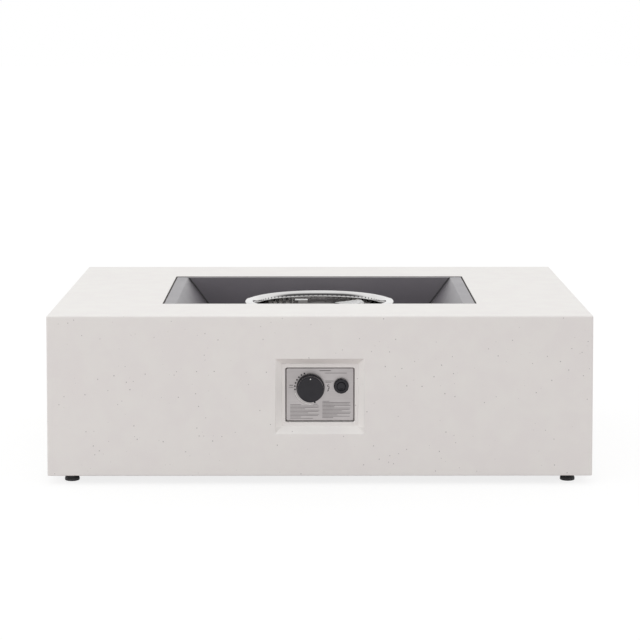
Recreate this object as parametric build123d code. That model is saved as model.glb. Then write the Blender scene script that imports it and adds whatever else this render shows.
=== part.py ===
from build123d import *

import math
import os

# Cast table body, in millimetres. X runs left to right, the front faces -Y, Z is up from the floor.
body_width = 1100.0
body_depth = 800.0
body_height = 326.0
foot_height = 18.0
draft_deg = 0.58
wall = 20.0
slab = 24.0
edge_radius = 3.5
core_radius = 16.0

# Opening in the table top, with the ledge that carries the fire tray.
opening_width = 654.0
opening_depth = 448.0
opening_corner = 3.0
rebate_depth = 3.5
ledge_side = 20.0
ledge_end = 8.0

# Fire tray of folded steel sheet.
tray_sheet = 1.5
tray_gap = 3.0
tray_flange_side = 24.5
tray_flange_end = 10.0
tray_depth = 92.0
tray_slope_deg = 36.6
tray_bend = 3.0

# Burner bowl of spun stainless steel.
bowl_sheet = 1.0
bowl_height = 71.0
rim_radius = 164.0
rim_lip = 7.0
rim_round = 5.0
bowl_mouth = 142.0
bowl_base = 140.5
bowl_corner = 11.0
bowl_roll = 12.0
vent_count = 80
vent_radius = 1.5
vent_drop = 9.2
bolt_circle = 105.0

# Burner ring, its hub and the stub that passes through the floors.
ring_radius = 60.0
ring_tube = 8.0
ring_corner = 6.0
ring_wall = 1.2
ring_rise = 20.0
port_count = 36
port_radius = 1.2
spoke_radius = 5.5
hub_radius = 17.0
stub_radius = 10.5
stub_bore = 8.0
stub_length = 26.0

# Small sheet parts in the bowl.
plate = 1.2
hood_low = 56.5
hood_high = 64.7
hood_left = 32.0
hood_skew = 23.0
hood_right = 102.0
hood_front = -9.0
hood_back = 51.0
hood_bend = 15.0
hood_edge = 7.0
hood_foot = 18.0
target_top = 60.0
target_x = -36.5
target_y = 67.0
target_width = 21.0
target_flange_width = 28.0
target_flange = 16.0
electrode_y = 76.0
probe_x = 76.0
probe_y = 21.0
probe_top = 50.0

# Gas train under the tray.
mixer_radius = 14.0
mixer_length = 60.0
pipe_radius = 5.0
pipe_wall = 1.0
pipe_bend = 35.0
pipe_start = 62.0
pipe_run = 165.0
jet_collar = 7.0
elbow_drop = 11.0
elbow_reach = 20.0
lead_radius = 2.0
lead_bend = 8.0
lead_run = 60.0
capillary_radius = 1.5
capillary_bend = 10.0

# Control pocket in the front wall and its panel.
pocket_width = 179.0
pocket_height = 153.0
pocket_chamfer = 12.5
pocket_depth = 14.0
pocket_edge = 1.8
window_width = 140.0
window_height = 112.0
window_corner = 4.0
panel_setback = 5.5
panel_gap = 1.5
panel_sheet = 1.2
seat_depth = 13.0
seat_margin = 17.0
pad_margin = 15.0

# Control knob, valve and igniter, set out from the centre of the panel.
knob_x = -19.0
knob_z = 14.0
knob_skirt = 28.5
knob_face = 26.0
push_travel = 4.0
knob_gap = push_travel + 1.5
knob_depth = 20.0
stem_radius = 4.0
stem_flat = 1.2
stem_back = -22.0
plunger_back = -31.0
valve_half = 17.0
valve_back = 46.0
outlet_back = valve_back + 10.0
outlet_drop = 11.0
magnet_seat = valve_back + 4.0
magnet_collar = magnet_seat + 6.0
magnet_back = magnet_collar + 10.0
magnet_rise = 10.0
inlet_back = 28.0
inlet_drop = valve_half + 7.0
igniter_x = 43.0
igniter_z = 18.0
cap_radius = 15.0
cap_height = 10.5
button_radius = 8.0
button_travel = 3.0
button_flange_low = button_travel + 2.4
button_flange_high = button_flange_low + 2.0
battery_radius = 7.1
battery_length = 50.0
battery_floor = battery_length + 6.0
igniter_end = battery_floor + 8.0
igniter_back = igniter_end + 6.0

# Feet.
foot_inset = 45.0
foot_radius = 15.0
foot_edge = 1.0
foot_shoulder = 9.0
foot_thread = 4.0
foot_adjust = 10.0
sleeve_radius = 7.0
sleeve_length = foot_adjust + 28.0

# Clearances: moving shafts, fixed fits and fastener holes.
running = 0.06
fit = 0.02
hole_slack = 0.3

# Heights and planes that several pieces share.
top_z = foot_height + body_height
ledge_z = top_z - rebate_depth
flange_top = ledge_z + tray_sheet
tray_floor = flange_top - tray_depth
tray_under = tray_floor - tray_sheet
bowl_floor = tray_floor + bowl_sheet
ring_z = bowl_floor + ring_rise
mixer_top = tray_under - 10.0
mixer_bottom = mixer_top - mixer_length
panel_z = foot_height + body_height / 2
front_y = -body_depth / 2 + math.tan(math.radians(draft_deg)) * body_height / 2
panel_y = front_y + pocket_depth + panel_setback
panel_width = window_width - 2 * panel_gap
panel_height = window_height - 2 * panel_gap
seat_width = window_width + 2 * seat_margin
seat_height = window_height + 2 * seat_margin
seat_screw_x = window_width / 2 + seat_margin / 2 + 0.5
seat_screw_z = window_height / 2 + seat_margin / 2 + 0.5
mouth_width = opening_width - 2 * tray_gap - 2 * tray_flange_side
mouth_depth = opening_depth - 2 * tray_gap - 2 * tray_flange_end
tray_slope = math.tan(math.radians(tray_slope_deg))
tray_side_skin = tray_sheet / math.cos(math.radians(tray_slope_deg))

# Places. The panel frame looks out of the front: x right, y up, z towards the viewer.
panel_frame = Plane(origin=(0, panel_y, panel_z), x_dir=(1, 0, 0), z_dir=(0, -1, 0))
knob_frame = panel_frame * Pos(knob_x, knob_z, 0)
igniter_frame = panel_frame * Pos(igniter_x, igniter_z, 0)
foot_x = body_width / 2 - foot_inset
foot_y = body_depth / 2 - foot_inset
foot_places = {
    "front_left": (-foot_x, -foot_y),
    "front_right": (foot_x, -foot_y),
    "back_left": (-foot_x, foot_y),
    "back_right": (foot_x, foot_y),
}
bolt_places = [(bolt_circle * math.cos(a), bolt_circle * math.sin(a))
               for a in (math.radians(45 + 90 * i) for i in range(4))]
hood_screw_places = [(hood_right - hood_foot / 2, y) for y in (hood_front + 12, hood_back - 12)]
target_screw_place = (target_x, target_y + 23)
small_screw_places = hood_screw_places + [target_screw_place]


def turned(profile, rounds=()):
    """A solid turned about Z from (radius, height) points, with chosen corners rounded."""
    face = make_face(Polyline(*profile, close=True))
    for radius, height, size in rounds:
        corner = face.vertices().sort_by_distance(Vector(radius, height, 0))[0]
        face = fillet(corner, size)
    return revolve(Plane.XZ * face, Axis.Z)


def rod(radius, low, high):
    """An upright round bar between two heights."""
    return Pos(0, 0, (low + high) / 2) * Cylinder(radius, high - low)


def hexagon(across_flats, low, high):
    """An upright hexagonal bar between two heights."""
    outline = RegularPolygon(across_flats / 2, 6, major_radius=False)
    return Pos(0, 0, low) * extrude(outline, high - low)


def slab_of(outline, low, high):
    """A flat outline drawn on the XY plane, raised between two heights."""
    return Pos(0, 0, low) * extrude(outline, high - low)


def span(x_range, y_range, z_range):
    """A box given by its limits along X, Y and Z."""
    size = (x_range[1] - x_range[0], y_range[1] - y_range[0], z_range[1] - z_range[0])
    centre = (sum(x_range) / 2, sum(y_range) / 2, sum(z_range) / 2)
    return Pos(*centre) * Box(*size)


def pan_screw(shank_radius, shank_length, head_radius, head_height):
    """A pan-head screw standing on its shank: the head starts at z = 0 and the shank goes down."""
    head = turned(
        [(0, 0), (head_radius, 0), (head_radius, head_height), (0, head_height)],
        [(head_radius, head_height, head_height * 0.45)],
    )
    socket = hexagon(head_radius * 0.75, head_height * 0.4, head_height + 1)
    return head + rod(shank_radius, -shank_length, 0) - socket


def hex_nut(across_flats, height, bore):
    """A plain nut from z = 0 upwards, with its corners turned off."""
    corner = across_flats / math.sqrt(3)
    cone = turned(
        [(0, 0), (across_flats / 2, 0), (corner, corner - across_flats / 2), (corner, height), (0, height)]
    )
    return (hexagon(across_flats, 0, height) & cone) - rod(bore, -1, height + 1)


def bent_bar(points, bend, outer, bore=0.0):
    """A round bar or tube along straight runs that are joined by tangent arcs."""
    path = FilletPolyline(*points, radius=bend)
    section = Circle(outer)
    if bore:
        section = section - Circle(bore)
    start = Plane(origin=points[0], z_dir=Vector(*points[1]) - Vector(*points[0]))
    return sweep(start * section, path=path)


def at_each(part, places, height=0.0):
    """Copies of one part at each (x, y) place."""
    return Compound(children=[Pos(x, y, height) * part for x, y in places])


def make_cast_body():
    """The hollow table: drafted walls, top with a rebated opening, control pocket and corner bosses."""
    outer = extrude(Rectangle(body_width, body_depth), body_height, taper=draft_deg)
    upper_edges = [e for e in outer.edges() if e.center().Z > 1]
    outer = fillet(upper_edges, edge_radius)
    lower_edges = [e for e in outer.edges() if e.center().Z < 0.01]
    outer = fillet(lower_edges, edge_radius / 2)

    core_height = body_height - slab
    core = extrude(
        Rectangle(body_width - 2 * wall, body_depth - 2 * wall), core_height, taper=draft_deg
    )
    core = fillet([e for e in core.edges() if e.center().Z > 1], core_radius)
    core += Pos(0, 0, -1) * extrude(
        RectangleRounded(body_width - 2 * wall, body_depth - 2 * wall, core_radius), 1
    )
    body = Pos(0, 0, foot_height) * (outer - core)

    boss_side = foot_inset + 25.0
    boss_reach = boss_side - wall / 2
    boss_top = foot_height + sleeve_length + 24
    boss = slab_of(RectangleRounded(boss_reach, boss_reach, 9), foot_height, boss_top)
    for sx in (-1, 1):
        for sy in (-1, 1):
            boss_x = sx * (body_width / 2 - boss_side + boss_reach / 2)
            boss_y = sy * (body_depth / 2 - boss_side + boss_reach / 2)
            body += Pos(boss_x, boss_y, 0) * boss
    sleeve_hole = rod(sleeve_radius, foot_height - 1, foot_height + sleeve_length + 12)
    for x, y in foot_places.values():
        body -= Pos(x, y, 0) * sleeve_hole

    pad_outline = RectangleRounded(seat_width + 2 * pad_margin, seat_height + 2 * pad_margin, 14)
    pad = slab_of(pad_outline, -seat_depth, panel_setback + 2)
    pad = fillet(pad.faces().sort_by(Axis.Z)[0].edges(), 5)
    body += panel_frame * pad

    ledge_width = pocket_width - 2 * pocket_chamfer
    ledge_height = pocket_height - 2 * pocket_chamfer
    overshoot = 4.0
    flare = pocket_chamfer / pocket_depth * overshoot
    mouth = Rectangle(pocket_width + 2 * flare, pocket_height + 2 * flare)
    pocket = loft(
        [
            Pos(0, 0, panel_setback) * Rectangle(ledge_width, ledge_height),
            Pos(0, 0, panel_setback + pocket_depth + overshoot) * mouth,
        ]
    )
    pocket = fillet(pocket.faces().sort_by(Axis.Z)[0].edges(), 1.5)
    body -= panel_frame * pocket
    brim = [
        e
        for e in body.edges()
        if abs(e.center().Y - front_y) < 2
        and abs(e.center().X) < pocket_width / 2 + 2
        and abs(e.center().Z - panel_z) < pocket_height / 2 + 2
    ]
    body = fillet(brim, pocket_edge)
    window_outline = RectangleRounded(window_width, window_height, window_corner)
    body -= panel_frame * slab_of(window_outline, -seat_depth - 1, panel_setback + 1)
    insert_hole = rod(3.5, -seat_depth - 1, -seat_depth + 12)
    for sx in (-1, 1):
        for sy in (-1, 1):
            body -= panel_frame * Pos(sx * seat_screw_x, sy * seat_screw_z, 0) * insert_hole

    rebate = slab_of(RectangleRounded(opening_width, opening_depth, opening_corner), ledge_z, top_z + 1)
    hole_outline = RectangleRounded(opening_width - 2 * ledge_side, opening_depth - 2 * ledge_end, 6)
    hole = slab_of(hole_outline, top_z - slab - 1, top_z)
    body = body - rebate - hole
    lip = [
        e
        for e in body.edges()
        if abs(e.center().Z - top_z) < 0.01
        and abs(e.center().X) < opening_width / 2 + 1
        and abs(e.center().Y) < opening_depth / 2 + 1
    ]
    return fillet(lip, 1.6)


def make_foot_sleeves():
    """Threaded metal sleeves cast into the corner bosses."""
    sleeve = rod(sleeve_radius - fit, foot_height, foot_height + sleeve_length)
    sleeve -= rod(foot_thread + running, foot_height - 1, foot_height + sleeve_length + 1)
    return at_each(sleeve, foot_places.values())


def make_foot_pad():
    """One foot: a puck with a chamfered shoulder and a socket for its stud."""
    socket = foot_thread + 2.5
    return turned(
        [
            (0, 0),
            (foot_radius - foot_edge, 0),
            (foot_radius, foot_edge),
            (foot_radius, foot_height - foot_shoulder),
            (foot_radius - 2.5, foot_height - foot_shoulder / 2),
            (foot_radius * 0.6, foot_height),
            (foot_thread + running, foot_height),
            (foot_thread + running, 8.5),
            (socket + 0.3, 8.5),
            (socket + 0.3, 5.5),
            (0, 5.5),
        ],
        [
            (foot_radius, foot_height - foot_shoulder, 1.0),
            (foot_radius - 2.5, foot_height - foot_shoulder / 2, 1.0),
        ],
    )


def make_foot_stud():
    """The stud of one foot, with the disc that the puck holds."""
    stud_top = foot_height + sleeve_length - 2
    return turned(
        [
            (0, 5.8),
            (foot_thread + 2.5, 5.8),
            (foot_thread + 2.5, 8.2),
            (foot_thread, 8.2),
            (foot_thread, stud_top - 1.5),
            (foot_thread - 1.5, stud_top),
            (0, stud_top),
        ]
    )


def tray_wedge(half_width, depth, low, high):
    """The hopper form: flat front and back, sides that slope in towards the floor."""
    drop = (high - low) * tray_slope
    low_half = half_width - drop
    outline = Polyline((-half_width, high), (half_width, high), (low_half, low), (-low_half, low), close=True)
    return Pos(0, depth / 2, 0) * extrude(Plane.XZ * make_face(outline), depth)


def floor_holes(radius_slack=0.0):
    """Bars that cut the holes which the bowl and the tray share."""
    low = tray_under - 1
    high = bowl_floor + 1
    cuts = [rod(stub_radius + hole_slack, low, high)]
    cuts += [Pos(x, y, 0) * rod(3.0 + radius_slack, low, high) for x, y in bolt_places]
    cuts += [Pos(x, y, 0) * rod(2.0 + fit, low, high) for x, y in small_screw_places]
    cuts.append(Pos(probe_x, probe_y, 0) * rod(3.0 + fit, low, high))
    cuts.append(Pos(target_x, electrode_y, 0) * rod(4.5 + fit, low, high))
    return cuts


def make_fire_tray():
    """The folded tray with its flange, sloped sides, drain holes and fixing holes."""
    half = mouth_width / 2
    inner = tray_wedge(half, mouth_depth, tray_floor, flange_top)
    inner = fillet([e for e in inner.edges() if e.center().Z < flange_top - 1], tray_bend)
    skin_half = half + tray_side_skin
    outer_high = flange_top - tray_sheet / 2
    outer_half = skin_half - (flange_top - outer_high) * tray_slope
    outer = tray_wedge(outer_half, mouth_depth + 2 * tray_sheet, tray_under, outer_high)
    outer = fillet([e for e in outer.edges() if e.center().Z < outer_high - 1], tray_bend + tray_sheet)
    flange = slab_of(
        RectangleRounded(opening_width - 2 * tray_gap, opening_depth - 2 * tray_gap, opening_corner - 1),
        ledge_z,
        flange_top,
    )
    inner += slab_of(Rectangle(mouth_width, mouth_depth), flange_top, flange_top + 1)
    tray = flange + outer - inner
    drain_x = half - tray_depth * tray_slope - 25
    drain_y = mouth_depth / 2 - 30
    drains = [Pos(sx * drain_x, sy * drain_y, 0) * rod(5, tray_under - 1, tray_floor + 1)
              for sx in (-1, 1) for sy in (-1, 1)]
    return tray - floor_holes(hole_slack) - drains


def make_burner_bowl():
    """The spun bowl: flat floor, nearly upright wall, rolled rim with a turned-down edge, row of vents."""
    t = bowl_sheet
    bowl = turned(
        [
            (0, 0),
            (bowl_base + t, 0),
            (bowl_mouth + t, bowl_height - t),
            (rim_radius - t, bowl_height - t),
            (rim_radius - t, bowl_height - rim_lip),
            (rim_radius, bowl_height - rim_lip),
            (rim_radius, bowl_height),
            (bowl_mouth, bowl_height),
            (bowl_base, t),
            (0, t),
        ],
        [
            (bowl_base + t, 0, bowl_corner + t),
            (bowl_base, t, bowl_corner),
            (bowl_mouth + t, bowl_height - t, bowl_roll - t),
            (bowl_mouth, bowl_height, bowl_roll),
            (rim_radius, bowl_height, rim_round),
            (rim_radius - t, bowl_height - t, rim_round - t),
        ],
    )
    lean = (bowl_mouth - bowl_base) / bowl_height
    vent_at = bowl_mouth - vent_drop * lean
    vent = Pos(vent_at, 0, bowl_height - vent_drop) * Rot(0, 90, 0) * Cylinder(vent_radius, 6)
    bowl -= [Rot(0, 0, 360 * i / vent_count) * vent for i in range(vent_count)]
    return Pos(0, 0, tray_floor) * bowl - floor_holes(hole_slack)


def make_bowl_bolts():
    """Bolts that hold the bowl to the tray floor."""
    return at_each(pan_screw(3.0, 12, 5.2, 3.4), bolt_places, bowl_floor)


def make_bowl_nuts():
    """Nuts of the bowl bolts, under the tray."""
    return at_each(hex_nut(10, 5, 3.0 + fit), bolt_places, tray_under - 5)


def ring_form(inset):
    """The burner ring as a plain form, inset by a wall's thickness from its outside."""
    side = 2 * (ring_tube - inset)
    section = RectangleRounded(side, side, ring_corner - inset)
    return revolve(Plane.XZ * (Pos(ring_radius, ring_z) * section), Axis.Z)


def spoke_form(radius, start, turn):
    """One spoke as a plain bar that ends inside the ring."""
    bar = Cylinder(radius, ring_radius - start, align=(Align.CENTER, Align.CENTER, Align.MIN))
    return Rot(0, 0, turn) * Pos(start, 0, ring_z) * Rot(0, 90, 0) * bar


def make_burner_ring():
    """The hollow ring with its ports, four spokes, hub and the stub through the floors."""
    hub_top = ring_z + 9
    burner = turned(
        [
            (0, tray_under - stub_length),
            (stub_radius, tray_under - stub_length),
            (stub_radius, bowl_floor),
            (hub_radius + 4, bowl_floor),
            (hub_radius + 4, bowl_floor + 3),
            (hub_radius, bowl_floor + 3),
            (hub_radius, hub_top),
            (0, hub_top),
        ],
        [(hub_radius, hub_top, 4)],
    )
    turns = [45 + 90 * i for i in range(4)]
    for turn in turns:
        burner += spoke_form(spoke_radius, hub_radius - 6, turn)
    burner += ring_form(0)
    burner -= ring_form(ring_wall)
    for turn in turns:
        burner -= spoke_form(spoke_radius - ring_wall, hub_radius - 6, turn)
    burner -= rod(hub_radius - 3, bowl_floor + 8, hub_top - 2)
    burner -= rod(stub_bore, tray_under - stub_length - 1, bowl_floor + 9)
    port = Pos(ring_radius, 0, ring_z) * Rot(0, 40, 0) * Pos(0, 0, ring_tube) * Cylinder(port_radius, 6)
    ports = [Rot(0, 0, 360 * (i + 0.5) / port_count) * port for i in range(port_count)]
    return burner - ports


def make_hub_nut():
    """The large nut that clamps the burner stub under the tray."""
    return Pos(0, 0, tray_under - 8) * hex_nut(32, 8, stub_radius + fit)


def hood_form(inset, reach):
    """The space under the hood's rising roof, drawn in by a wall and lengthened at its open sides."""
    rise = (hood_high - hood_low) / (hood_right - hood_left)
    skin = inset * math.hypot(1, rise)
    left = hood_left - reach
    right = hood_right - inset
    roof_left = bowl_floor + hood_low - reach * rise - skin
    roof_right = bowl_floor + hood_high - inset * rise - skin
    low = bowl_floor - reach
    face = make_face(Polyline((left, low), (right, low), (right, roof_right), (left, roof_left), close=True))
    crown = face.vertices().sort_by_distance(Vector(right, roof_right, 0))[0]
    face = fillet(crown, hood_bend - inset)
    depth = hood_back - hood_front + 2 * reach
    return Pos(0, hood_back + reach, 0) * extrude(Plane.XZ * face, depth)


def skewed_slab(first, last):
    """An upright slab beside the hood's skewed mouth, between two distances from it along X."""
    outline = Polyline(
        (hood_left + first, hood_back),
        (hood_left + last, hood_back),
        (hood_left + hood_skew + last, hood_front),
        (hood_left + hood_skew + first, hood_front),
        close=True,
    )
    return slab_of(make_face(outline), bowl_floor, bowl_floor + hood_high)


def make_pilot_hood():
    """The bent hood over the thermocouple: rising roof, rounded high end, skewed mouth and a foot."""
    form = hood_form(0, 0) - skewed_slab(-hood_right, 0)
    edge_z = bowl_floor + hood_low - hood_edge
    roof_z = bowl_floor + hood_high
    mouth_skin = plate * math.hypot(1, hood_skew / (hood_back - hood_front))
    brow = form & span((hood_left, hood_right), (hood_front, hood_back), (edge_z, roof_z))
    hood = form - hood_form(plate, 1)
    hood += brow & skewed_slab(0, mouth_skin)
    for y in (hood_front, hood_back - plate):
        hood += brow & span((hood_left, hood_right), (y, y + plate), (edge_z, roof_z))
    foot_z = (bowl_floor, bowl_floor + plate)
    hood += span((hood_right - hood_foot, hood_right), (hood_front, hood_back), foot_z)
    window_y = (hood_front + 15, hood_back - 15)
    window = span((hood_right - 5, hood_right + 5), window_y, (bowl_floor + 15, roof_z - hood_bend - 6))
    holes = [Pos(x, y, 0) * rod(2.0 + fit, bowl_floor - 1, bowl_floor + 3) for x, y in hood_screw_places]
    return hood - window - holes


def make_spark_target():
    """The bent bracket whose top flange stands over the electrode."""
    crest = bowl_floor + target_top
    left = target_x - target_width / 2
    right = target_x + target_width / 2
    flange_left = right - target_flange_width
    back = target_y + 30
    part = span((left, right), (target_y, target_y + plate), (bowl_floor, crest))
    part += span((flange_left, right), (target_y, target_y + target_flange), (crest - plate, crest))
    part += span((left, right), (target_y, back), (bowl_floor, bowl_floor + plate))
    bend = [e for e in part.edges().filter_by(Axis.X)
            if abs(e.center().Y - target_y) < 0.01 and abs(e.center().Z - bowl_floor) < 0.01]
    part = fillet(bend, 1.0)
    part -= Pos(target_x, electrode_y, 0) * rod(4.5 + fit, bowl_floor - 1, bowl_floor + 3)
    part -= Pos(*target_screw_place, 0) * rod(2.0 + fit, bowl_floor - 1, bowl_floor + 3)
    return part


def make_small_screws():
    """Screws of the hood and the spark target, through the bowl and tray floors."""
    return at_each(pan_screw(2.0, 7, 3.6, 2.4), small_screw_places, bowl_floor + plate)


def make_electrode_insulator():
    """The ceramic sleeve of the electrode, with a collar on the bracket's foot."""
    seat = bowl_floor + plate
    top = bowl_floor + target_top - 15
    sleeve = turned(
        [
            (0, tray_under - 16),
            (4.5, tray_under - 16),
            (4.5, seat),
            (7.0, seat),
            (7.0, seat + 4),
            (4.5, seat + 4),
            (4.5, top - 4),
            (3.0, top),
            (0, top),
        ],
        [(7.0, seat + 4, 1.0)],
    )
    return Pos(target_x, electrode_y, 0) * (sleeve - rod(1.25 + fit, tray_under - 20, top + 1))


def make_electrode_rod():
    """The steel rod of the electrode, ending in a spark gap under the target."""
    low = tray_under - 22
    tip = bowl_floor + target_top - plate - 5
    pin = turned([(0, low), (1.25, low), (1.25, tip - 1.5), (0.4, tip), (0, tip)])
    return Pos(target_x, electrode_y, 0) * pin


def make_thermocouple():
    """The heat sensor under the hood: tapered tip, body and a hexagonal collar on the bowl floor."""
    low = tray_under - 12
    top = bowl_floor + probe_top
    probe = turned(
        [(0, low), (3.0, low), (3.0, top - 16), (2.3, top - 14), (2.3, top), (0, top)], [(2.3, top, 1.5)]
    )
    probe += hexagon(11, bowl_floor, bowl_floor + 4)
    return Pos(probe_x, probe_y, 0) * probe


def make_thermocouple_nut():
    """The nut of the heat sensor, under the tray."""
    return Pos(probe_x, probe_y, tray_under - 5) * hex_nut(11, 5, 3.0 + fit)


def make_air_mixer():
    """The mixing tube under the burner, with air slots round its lower end."""
    stub_end = tray_under - stub_length
    tube = turned(
        [
            (stub_radius + fit, mixer_top),
            (mixer_radius, mixer_top),
            (mixer_radius, mixer_bottom),
            (5.0 + fit, mixer_bottom),
            (5.0 + fit, mixer_bottom + 4),
            (mixer_radius - 2, mixer_bottom + 4),
            (mixer_radius - 2, stub_end - 10),
            (stub_bore, stub_end - 4),
            (stub_bore, stub_end),
            (stub_radius + fit, stub_end),
        ]
    )
    slot = span((mixer_radius - 6, mixer_radius + 6), (-3.5, 3.5), (mixer_bottom + 9, mixer_bottom + 27))
    slot = fillet(slot.edges().filter_by(Axis.X), 3.2)
    return tube - [Rot(0, 0, 45 + 90 * i) * slot for i in range(4)]


def make_gas_injector():
    """The brass jet that feeds the mixer."""
    jet = turned(
        [
            (0.6, mixer_bottom - jet_collar),
            (5.0, mixer_bottom - jet_collar),
            (5.0, mixer_bottom + 5),
            (3.4, mixer_bottom + 6),
            (2.4, mixer_bottom + 11),
            (0.6, mixer_bottom + 11),
        ]
    )
    collar = hexagon(15, mixer_bottom - jet_collar, mixer_bottom)
    return jet + (collar - rod(4, mixer_bottom - jet_collar - 1, mixer_bottom + 1))


def make_injector_elbow():
    """The elbow that turns the gas pipe up into the jet."""
    top = mixer_bottom - jet_collar
    axis_z = top - elbow_drop
    arm = Rot(90, 0, 0) * rod(7.0, 0, elbow_reach)
    bore = Rot(90, 0, 0) * rod(3.5, 0, elbow_reach + 1)
    elbow = rod(8.0, axis_z - 9, top) + Pos(0, 0, axis_z) * arm
    elbow = fillet(elbow.faces().sort_by(Axis.Z)[0].edges(), 3)
    return elbow - rod(3.5, axis_z, top + 1) - Pos(0, 0, axis_z) * bore


def pipe_ends():
    """The two ends of the gas pipe: at the valve's outlet and at the elbow."""
    at_valve = (knob_x, panel_y + outlet_back, panel_z + knob_z - outlet_drop)
    at_elbow = (0.0, -elbow_reach, mixer_bottom - jet_collar - elbow_drop)
    return at_valve, at_elbow


def make_gas_pipe():
    """The bent tube from the valve to the elbow."""
    at_valve, at_elbow = pipe_ends()
    points = [
        at_valve,
        (at_valve[0], at_valve[1] + pipe_start, at_valve[2]),
        (at_elbow[0], at_elbow[1] - pipe_run, at_elbow[2]),
        at_elbow,
    ]
    return bent_bar(points, pipe_bend, pipe_radius, pipe_radius - pipe_wall)


def make_pipe_nuts():
    """The nuts at both ends of the gas pipe."""
    at_valve, at_elbow = pipe_ends()
    nut = hex_nut(17, 14, pipe_radius + fit)
    first = Pos(*at_valve) * Rot(-90, 0, 0) * nut
    second = Pos(*at_elbow) * Rot(90, 0, 0) * nut
    return Compound(children=[first, second])


def make_thermocouple_lead():
    """The thin copper line from the heat sensor to the valve's magnet unit."""
    start = (probe_x, probe_y, tray_under - 12)
    end = (knob_x, panel_y + magnet_back, panel_z + knob_z + magnet_rise)
    points = [start, (start[0], start[1], end[2]), (end[0], end[1] + lead_run, end[2]), end]
    return bent_bar(points, capillary_bend, capillary_radius)


def make_ignition_lead():
    """The insulated wire from the igniter to the electrode."""
    start = (target_x, electrode_y, tray_under - 22)
    end = (igniter_x, panel_y + igniter_back, panel_z + igniter_z)
    points = [start, (start[0], start[1], end[2]), (end[0], end[1] + lead_run, end[2]), end]
    return bent_bar(points, lead_bend, lead_radius)


def make_control_panel():
    """The drawn steel panel: face in the window, walls through the wall and a flange behind it."""
    low = -seat_depth - panel_sheet
    face = slab_of(RectangleRounded(panel_width, panel_height, window_corner), low, 0)
    face = fillet(face.faces().sort_by(Axis.Z)[-1].edges(), 1.8)
    inner_width = panel_width - 2 * panel_sheet
    inner_height = panel_height - 2 * panel_sheet
    inner_outline = RectangleRounded(inner_width, inner_height, window_corner - panel_sheet)
    inside = slab_of(inner_outline, low - 1, -panel_sheet)
    flange = slab_of(RectangleRounded(seat_width, seat_height, 8), low, -seat_depth)
    panel = face + flange - inside
    cuts = [Pos(knob_x, knob_z, 0) * rod(6.5 + hole_slack, -3, 1)]
    cuts += [Pos(knob_x + sx * 16, knob_z, 0) * rod(2.0 + hole_slack, -3, 1) for sx in (-1, 1)]
    cuts.append(Pos(igniter_x, igniter_z, 0) * rod(11 + hole_slack, -3, 1))
    cuts += [Pos(sx * seat_screw_x, sy * seat_screw_z, 0) * rod(2.0 + hole_slack, low - 1, -seat_depth + 1)
             for sx in (-1, 1) for sy in (-1, 1)]
    return panel_frame * (panel - cuts)


def seat_copies(part):
    """Copies of a part at the four corners of the panel's flange."""
    places = [(sx * seat_screw_x, sy * seat_screw_z) for sx in (-1, 1) for sy in (-1, 1)]
    return panel_frame * at_each(part, places)


def make_panel_inserts():
    """Metal inserts in the concrete for the panel's screws."""
    insert = rod(3.5 - fit, -seat_depth, -seat_depth + 12)
    insert -= rod(2.0 + fit, -seat_depth - 1, -seat_depth + 13)
    return seat_copies(insert)


def make_panel_screws():
    """Screws that hold the panel's flange to the inside of the wall."""
    screw = Pos(0, 0, -seat_depth - panel_sheet) * Rot(180, 0, 0) * pan_screw(2.0, 12, 3.8, 2.6)
    return seat_copies(screw)


def make_gas_valve():
    """The valve body: flange, block, neck, rear outlet and magnet seat, inlet boss underneath."""
    valve = slab_of(RectangleRounded(44, 26, 5), -panel_sheet - 4, -panel_sheet)
    block = slab_of(RectangleRounded(2 * valve_half, 2 * valve_half, 7), -valve_back, -panel_sheet - 3)
    valve += fillet(block.faces().sort_by(Axis.Z)[0].edges(), 2.5)
    valve += rod(6.5, -panel_sheet - 1, 1.0)
    valve += Pos(0, -outlet_drop, 0) * rod(7.5, -outlet_back, -valve_back + 1)
    valve += Pos(0, magnet_rise, 0) * rod(6.5, -magnet_seat, -valve_back + 1)
    valve += Pos(0, -inlet_drop, -inlet_back) * Rot(-90, 0, 0) * rod(9.0, 0, 9)
    valve -= rod(stem_radius + running, plunger_back - push_travel - 6, 2)
    valve -= Pos(0, -outlet_drop, 0) * rod(3.5, -outlet_back - 1, -valve_back + 16)
    valve -= Pos(0, -inlet_drop - 1, -inlet_back) * Rot(-90, 0, 0) * rod(4.5, 0, 22)
    screw_hole = rod(2.0 + fit, -10, 0)
    return knob_frame * (valve - [Pos(sx * 16, 0, 0) * screw_hole for sx in (-1, 1)])


def make_valve_screws():
    """Screws of the valve, under the knob."""
    screw = pan_screw(2.0, 9, 3.6, 2.4)
    return knob_frame * at_each(screw, [(-16, 0), (16, 0)])


def make_magnet_unit():
    """The magnet unit of the flame safety device, behind the valve."""
    unit = hexagon(14, -magnet_collar, -magnet_seat) + rod(5.0, -magnet_back, -magnet_collar)
    return knob_frame * Pos(0, magnet_rise, 0) * unit


def make_inlet_fitting():
    """The flared gas inlet that points at the floor."""
    collar = hexagon(19, -8, 0)
    nose = turned([(0, -25), (4.9, -25), (7.9, -22), (7.9, -8), (0, -8)])
    fitting = collar + nose - rod(4.0, -26, 1)
    return Pos(knob_x, panel_y + inlet_back, panel_z + knob_z - inlet_drop) * fitting


def make_valve_plunger():
    """The push rod inside the valve, behind the stem."""
    return knob_frame * rod(stem_radius, plunger_back, stem_back - 0.2)


def stem_section(slack):
    """The D outline of the stem, with its flat to the top."""
    radius = stem_radius + slack
    cut = Pos(0, radius - stem_flat + 5 + slack) * Rectangle(4 * radius, 10)
    return Circle(radius) - cut


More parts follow.
